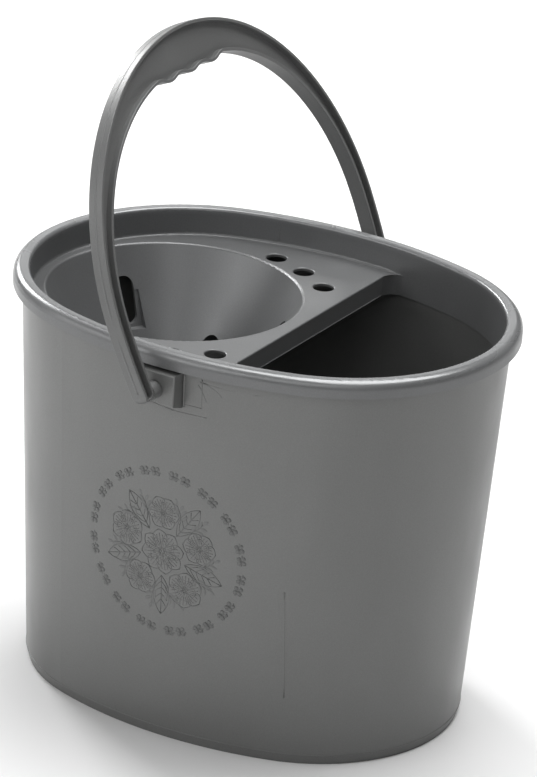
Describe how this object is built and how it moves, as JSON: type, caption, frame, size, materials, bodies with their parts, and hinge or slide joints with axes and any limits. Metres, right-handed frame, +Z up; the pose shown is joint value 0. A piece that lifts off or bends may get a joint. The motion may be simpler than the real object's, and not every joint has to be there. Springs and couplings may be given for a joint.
{
  "type": "oval mop bucket with wringer",
  "caption": "Oval tapered plastic mop bucket with a lift-out cone wringer over one end, an open well at the other, and a swinging channel-section bail handle with a finger grip.",
  "frame": {"origin": "on the floor at the middle of the base, which is the middle of the whole object's outline from above", "axes": "+Z up; +X along the oval's long axis from the wringer cone towards the open well; +Y across, along the bail's pivot line"},
  "size_m": [0.36, 0.33, 0.4605],
  "materials": {
    "bucket_plastic": "satin metallic grey moulded polypropylene",
    "wringer_plastic": "satin metallic grey moulded polypropylene",
    "bail_plastic": "satin metallic grey moulded polypropylene"
  },
  "bodies": {
    "bucket": {"bucket_shell": "bucket_plastic"},
    "wringer": {"wringer_insert": "wringer_plastic"},
    "bail": {"bail_handle": "bail_plastic"}
  },
  "joints": [
    {"name": "bail_swing", "type": "hinge", "parent": "bucket", "child": "bail", "pos_m": [0, 0, 0.2645], "axis": [0, 1, 0], "range_deg": [-56, 104]},
    {"name": "wringer_lift", "type": "slide", "parent": "bucket", "child": "wringer", "axis": [0, 0, 1], "range_m": [0, 0.065]}
  ]
}
